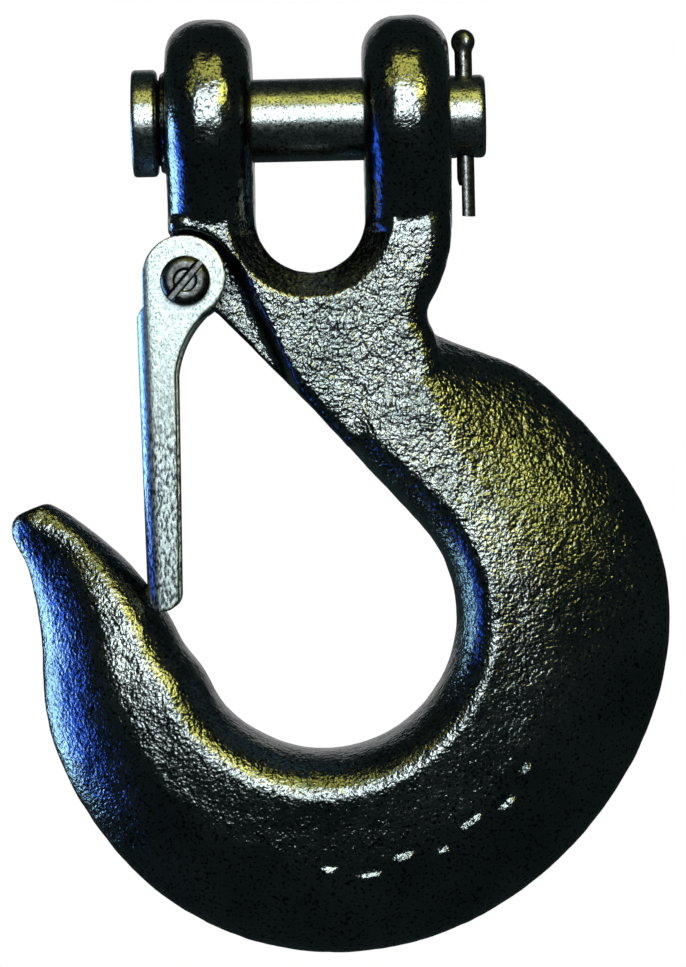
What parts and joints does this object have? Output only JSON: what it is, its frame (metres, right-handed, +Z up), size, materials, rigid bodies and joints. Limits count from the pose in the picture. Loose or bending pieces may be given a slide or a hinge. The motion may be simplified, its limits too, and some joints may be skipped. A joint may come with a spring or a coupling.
{
  "type": "safety chain hook",
  "caption": "Forged clevis hook for the end of a trailer safety chain, with a removable headed pin, a cotter and a sprung latch that closes its mouth.",
  "frame": {"origin": "on the clevis pin's axis, midway between the two ears", "axes": "+Z up, from the hook to its chain; the hook lies in XZ with its tip and latch on the -X side; the latch bolt's head is on the -Y side and the clevis pin's head on the -X side"},
  "size_m": [0.1004, 0.0312, 0.1431],
  "materials": {
    "forging_black": "glossy black coat over a grained forging",
    "pin_steel": "bright plated bar, slightly grained",
    "cotter_steel": "darkened steel wire",
    "latch_zinc": "bright zinc plate, finely mottled",
    "spring_steel": "plain spring wire",
    "bolt_steel": "dark plated, worn bright in the middle of the head",
    "nut_zinc": "zinc plated",
    "insert_nylon": "off-white nylon"
  },
  "bodies": {
    "hook": {"hook_body": "forging_black", "latch_bolt": "bolt_steel", "latch_nut": "nut_zinc", "latch_nut_insert": "insert_nylon"},
    "latch": {"latch": "latch_zinc", "latch_spring": "spring_steel"},
    "clevis_pin": {"clevis_pin": "pin_steel"},
    "cotter_pin": {"cotter_pin": "cotter_steel"}
  },
  "joints": [
    {"name": "latch_pivot", "type": "hinge", "parent": "hook", "child": "latch", "pos_m": [-0.01905, 0, -0.0245], "axis": [0, -1, 0], "range_deg": [0, 44], "stiffness_Nm_per_rad": 0.1, "springref_deg": -34.38, "deforming": ["latch_spring"]},
    {"name": "clevis_pin_turn", "type": "hinge", "parent": "hook", "child": "clevis_pin", "pos_m": [0, 0, 0], "axis": [1, 0, 0], "continuous": true},
    {"name": "cotter_pull", "type": "slide", "parent": "clevis_pin", "child": "cotter_pin", "axis": [0, 0, 1], "range_m": [0, 0.02]}
  ]
}
